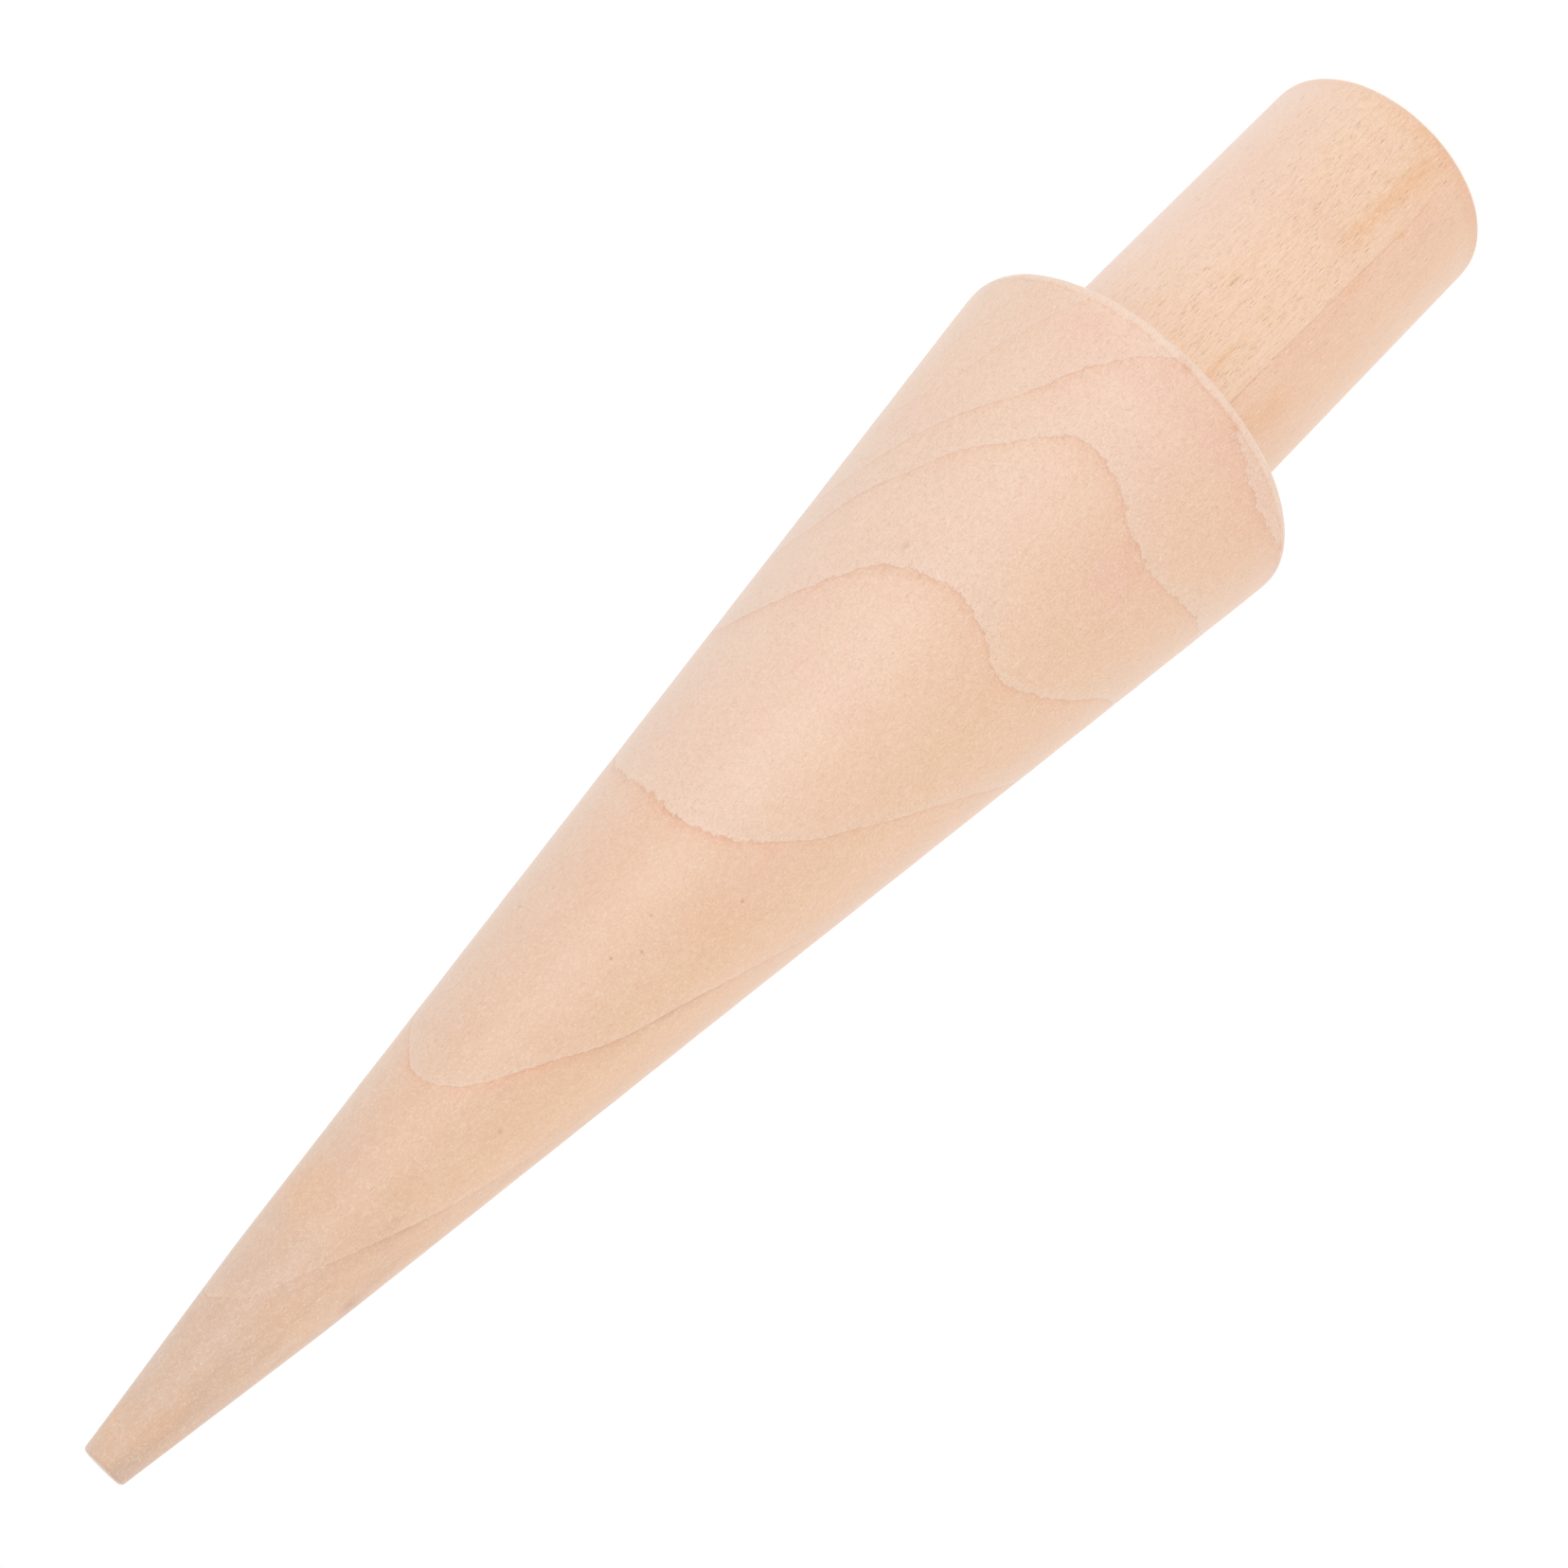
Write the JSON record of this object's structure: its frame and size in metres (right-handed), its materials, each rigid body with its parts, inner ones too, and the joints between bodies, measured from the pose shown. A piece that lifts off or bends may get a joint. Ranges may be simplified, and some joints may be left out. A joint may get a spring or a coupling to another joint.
{
  "type": "ring mandrel",
  "caption": "Wooden ring mandrel: a long solid cone that rings slide on to be shaped, held by a plain cylindrical handle glued into its large end.",
  "frame": {"origin": "centre of the handle's flat end face, the face the mandrel stands on", "axes": "+Z along the mandrel's axis, from the handle's end face to the small tip; X and Y are interchangeable"},
  "size_m": [0.0632, 0.0632, 0.2795],
  "materials": {
    "body_wood": "sanded, unvarnished",
    "handle_wood": "sanded, unvarnished"
  },
  "bodies": {
    "root": {"tapered_body": "body_wood", "handle": "handle_wood"}
  },
  "joints": []
}
